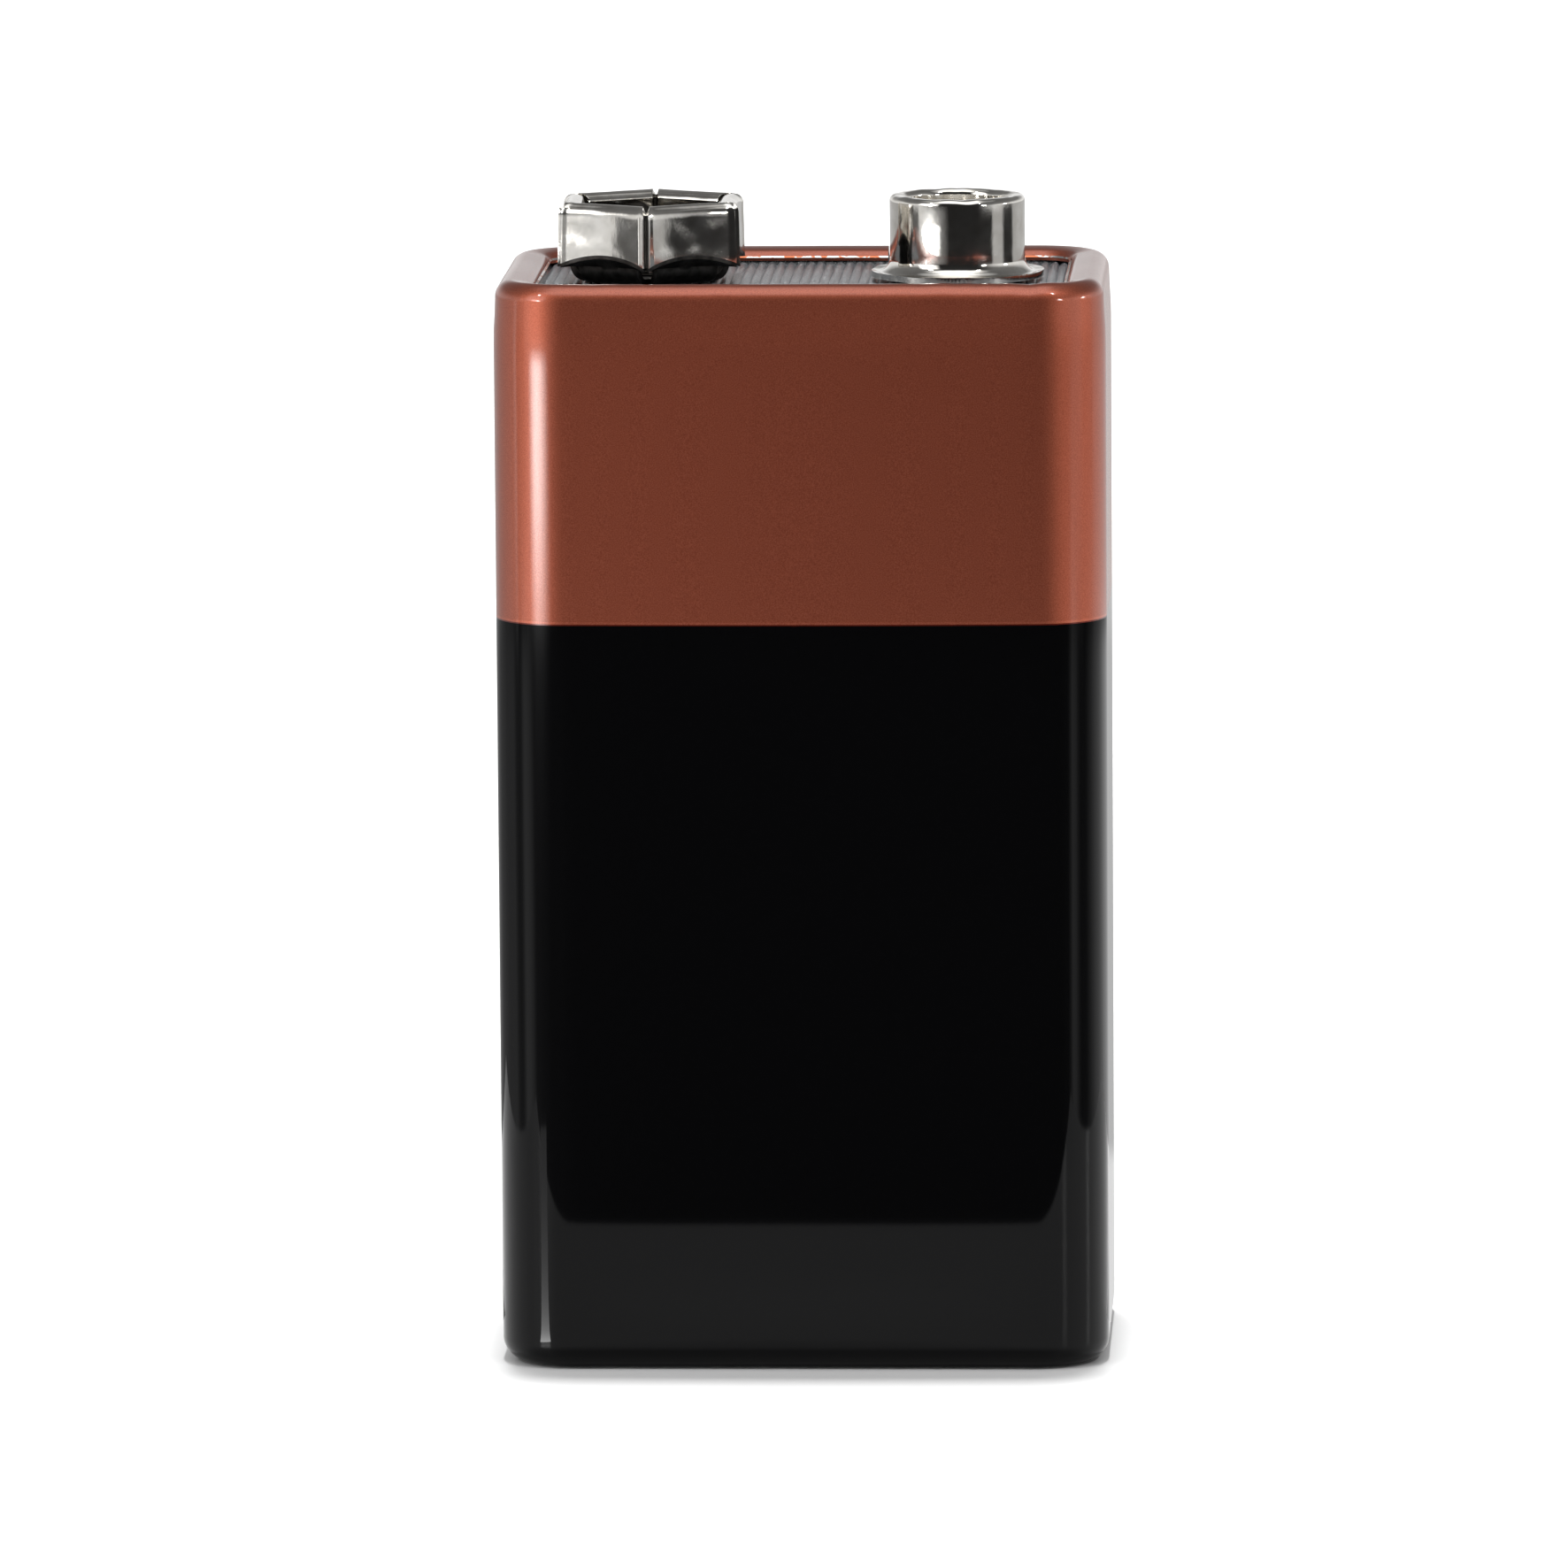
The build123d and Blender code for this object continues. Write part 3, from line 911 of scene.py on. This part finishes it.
def bright_nickel():
    """Bright nickel plate with soft press marks."""
    dark = (0.70, 0.67, 0.62)
    light = (0.84, 0.82, 0.78)
    made, tree, shader = new_material("bright_nickel", metallic=1.0)
    cloud = object_noise(tree, size=0.8, detail=3.0)
    follow(tree, shader, cloud, ((0.3, dark), (0.7, light)), roughness=(0.05, 0.11))
    bump(tree, shader, object_noise(tree, size=0.22, detail=3.0, stretch=(1, 1, 2)), depth=0.0025)
    return made


def painted_shade_nickel():
    """Nickel coloured near black as painted shade, low on the crown and on its foot, where the petals turn
    in under their faces.
    """
    dark = (0.02, 0.019, 0.018)
    light = (0.05, 0.048, 0.045)
    made, tree, shader = new_material("painted_shade_nickel", metallic=1.0)
    cloud = object_noise(tree, size=0.3, detail=3.0)
    follow(tree, shader, cloud, ((0.3, dark), (0.7, light)), roughness=(0.35, 0.5))
    return made


def strip_steel():
    """Rolled nickel strip of the leads, straps and cells, with fine rolling lines."""
    dark = (0.58, 0.57, 0.55)
    light = (0.76, 0.75, 0.72)
    made, tree, shader = new_material("strip_steel", metallic=1.0)
    lines = object_noise(tree, size=0.12, detail=3.0, stretch=(1, 20, 1))
    follow(tree, shader, lines, ((0.3, dark), (0.7, light)), roughness=(0.24, 0.4))
    return made


def plain_board(name, dark, light, roughness):
    """Matt moulded or pressed board with a fine speckle."""
    made, tree, shader = new_material(name, metallic=0.0)
    speckle = object_noise(tree, size=0.15, detail=4.0)
    follow(tree, shader, speckle, ((0.35, dark), (0.7, light)), roughness=(roughness, roughness + 0.15))
    bump(tree, shader, speckle, depth=0.01)
    return made


def dress_cad_nodes():
    """Materials of the pieces that keep their CAD shape."""
    steel = strip_steel()
    finishes = {
        "rivet": bright_nickel(),
        "lead": steel,
        "strap": steel,
        "cell": steel,
        "spacer": plain_board("spacer_plastic", (0.72, 0.71, 0.66), (0.82, 0.81, 0.77), 0.45),
        "liner": plain_board("liner_film", (0.52, 0.42, 0.29), (0.68, 0.58, 0.44), 0.4),
        "base_plate": plain_board("base_board", (0.012, 0.012, 0.013), (0.03, 0.03, 0.032), 0.55),
    }
    for name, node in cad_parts.items():
        for word, finish in finishes.items():
            if word in name:
                node.data.materials.clear()
                node.data.materials.append(finish)


# Studio


def direction(azimuth, elevation):
    """Unit vector towards an azimuth and elevation in degrees, with azimuth 0 in front."""
    turn = math.radians(azimuth)
    rise = math.radians(elevation)
    return Vector((math.sin(turn) * math.cos(rise), -math.cos(turn) * math.cos(rise), math.sin(rise)))


def stage_piece(name, points, faces, finish):
    """Flat piece of the studio, with points in millimetres."""
    mesh = bpy.data.meshes.new(name)
    mesh.from_pydata([Vector(point) * MM for point in points], [], faces)
    mesh.materials.append(finish)
    piece = bpy.data.objects.new(name, mesh)
    bpy.context.scene.collection.objects.link(piece)
    return piece


def only_in_gloss(piece):
    """Hides a piece of the studio from all but mirrored light."""
    piece.visible_camera = False
    piece.visible_diffuse = False
    piece.visible_shadow = False


def floor_material(name):
    """White sheet with the low sheen of paper."""
    return new_material(name, base_color=(0.9, 0.9, 0.9, 1.0), metallic=0.0, roughness=0.35)[0]


def rectangle(left, front, right, back):
    """Corners of a rectangle on the floor that the battery stands on."""
    return [(left, front, 0.0), (right, front, 0.0), (right, back, 0.0), (left, back, 0.0)]


def floors():
    """White sheet near the battery, its wings, and the pale floor all round it."""
    near = rectangle(-sheet_side, -sheet_front, sheet_side, sheet_back)
    stage_piece("floor_near", near, [(0, 1, 2, 3)], floor_material("floor_near"))
    outside = rectangle(-floor_reach, -floor_reach, floor_reach, floor_reach)
    ring = [(index, (index + 1) % 4, 4 + (index + 1) % 4, 4 + index) for index in range(4)]
    far = stage_piece("floor_far", outside + near, ring, floor_material("floor_far"))
    far.visible_glossy = False
    far.visible_shadow = False
    for left, right in ((-sheet_side, -wing_start), (wing_start, sheet_side)):
        outline = rectangle(left, sheet_back, right, wing_back)
        wing = stage_piece("floor_wing", outline, [(0, 1, 2, 3)], floor_material("floor_wing"))
        only_in_gloss(wing)


def lights():
    """Key at the left front with a low strip, a weaker fill, and a small high lamp for the floor."""
    for name, (azimuth, elevation, distance, (width, height), power) in lamps.items():
        data = bpy.data.lights.new(name, "AREA")
        data.shape = "RECTANGLE"
        data.size = width * MM
        data.size_y = height * MM
        data.energy = power
        lamp = bpy.data.objects.new(name, data)
        bpy.context.scene.collection.objects.link(lamp)
        back = direction(azimuth, elevation)
        lamp.location = (lamp_target + back * distance) * MM
        lamp.rotation_euler = back.to_track_quat("Z", "Y").to_euler()
        lamp.visible_glossy = name != "floor_wash"


def floor_glint():
    """Wedge of light on the floor at the left front, seen only in the gloss of the jacket."""
    ahead = direction(glint_azimuth, 0)
    aside = Vector((-ahead.y, ahead.x, 0.0))
    outline = (
        (glint_start, glint_start_width / 2),
        (glint_start, -glint_start_width / 2),
        (glint_end, -glint_end_width / 2),
        (glint_end, glint_end_width / 2),
    )
    points = [ahead * distance + aside * offset for distance, offset in outline]
    wedge = stage_piece("floor_glint", points, [(0, 1, 2, 3)], glint_material())
    corner = Vector((corner_radius - half_width, corner_radius - half_depth, glint_height))
    wedge.location = (corner + ahead * corner_radius + aside * glint_offset) * MM
    only_in_gloss(wedge)


def glint_material():
    """Light that weakens with the distance from the object's own origin."""
    made, tree, shader = new_material(
        "glint", specular_ior_level=0.0, base_color=(0.0, 0.0, 0.0, 1.0), emission_color=(1.0, 1.0, 1.0, 1.0)
    )
    distance = tree.nodes.new("ShaderNodeVectorMath")
    distance.operation = "LENGTH"
    tree.links.new(place_in_object(tree), distance.inputs[0])
    level = math_node(tree, "DIVIDE", glint_level_at_millimetre * MM, distance.outputs["Value"])
    tree.links.new(level, shader.inputs["Emission Strength"])
    return made


def band(tree, value, levels):
    """Brightness by an angle, from levels at angles that run over the value's whole range."""
    first = min(levels)
    span = max(levels) - first
    stops = [((where - first) / span, (level / world_peak,) * 3) for where, level in levels.items()]
    return ramp(tree, value, stops)


def studio_world():
    """White tent at the back and overhead, with windows at several places; dark towards the lens."""
    world = bpy.data.worlds.new("studio")
    bpy.context.scene.world = world
    world.use_nodes = True
    tree = world.node_tree
    parts = tree.nodes.new("ShaderNodeSeparateXYZ")
    tree.links.new(tree.nodes.new("ShaderNodeTexCoord").outputs["Generated"], parts.inputs["Vector"])

    def eased(value, start, full):
        return mapped(tree, value, (start, full), kind="SMOOTHSTEP")

    ahead = math_node(tree, "MULTIPLY", parts.outputs["Y"], -1.0)
    azimuth = math_node(tree, "DEGREES", math_node(tree, "ARCTAN2", parts.outputs["X"], ahead))
    turn = math_node(tree, "ADD", math_node(tree, "DIVIDE", azimuth, 360.0), 0.5)
    elevation = math_node(tree, "DEGREES", math_node(tree, "ARCSINE", parts.outputs["Z"]))
    rise = math_node(tree, "DIVIDE", elevation, 90.0)
    behind = eased(math_node(tree, "ABSOLUTE", azimuth), *back_sky_start)
    sky = mixed(tree, "MIX", behind, band(tree, rise, front_sky_levels), band(tree, rise, back_sky_levels))
    low_band = band(tree, turn, low_levels)
    middle_band = band(tree, turn, middle_levels)
    room = mixed(tree, "MIX", eased(elevation, *middle_start), low_band, middle_band)
    room = mixed(tree, "MIX", eased(elevation, *sky_start), room, sky)
    for level, *edges in windows:
        glow = level / world_peak
        for value, (start, full, still_full, end) in zip((azimuth, elevation), edges):
            glow = math_node(tree, "MULTIPLY", eased(value, start, full), glow)
            glow = math_node(tree, "MULTIPLY", eased(value, end, still_full), glow)
        room = mixed(tree, "ADD", 1.0, room, glow)
    background = tree.nodes["Background"]
    tree.links.new(room, background.inputs["Color"])
    background.inputs["Strength"].default_value = world_peak


def camera():
    """Camera at the photo's place, with the photo's lens."""
    turn = math.radians(camera_azimuth)
    roll = math.radians(camera_roll)
    back = direction(camera_azimuth, camera_elevation)
    level = Vector((math.cos(turn), math.sin(turn), 0.0))
    upright = back.cross(level)
    right = math.cos(roll) * level + math.sin(roll) * upright
    up = math.cos(roll) * upright - math.sin(roll) * level
    data = bpy.data.cameras.new("photo_camera")
    data.sensor_width = sensor_width
    data.lens = sensor_width * focal_pixels / picture_side
    data.clip_start = camera_near * MM
    data.clip_end = camera_far * MM
    lens = bpy.data.objects.new("photo_camera", data)
    bpy.context.scene.collection.objects.link(lens)
    place = (camera_target + back * camera_distance) * MM
    lens.matrix_world = Matrix.Translation(place) @ Matrix((right, up, back)).transposed().to_4x4()
    bpy.context.scene.camera = lens


bpy.context.scene.view_settings.view_transform = "Standard"
dress_cad_nodes()
jacket_shell()
terminal_board()
positive_stud()
negative_crown()
negative_base()
floors()
lights()
floor_glint()
studio_world()
camera()
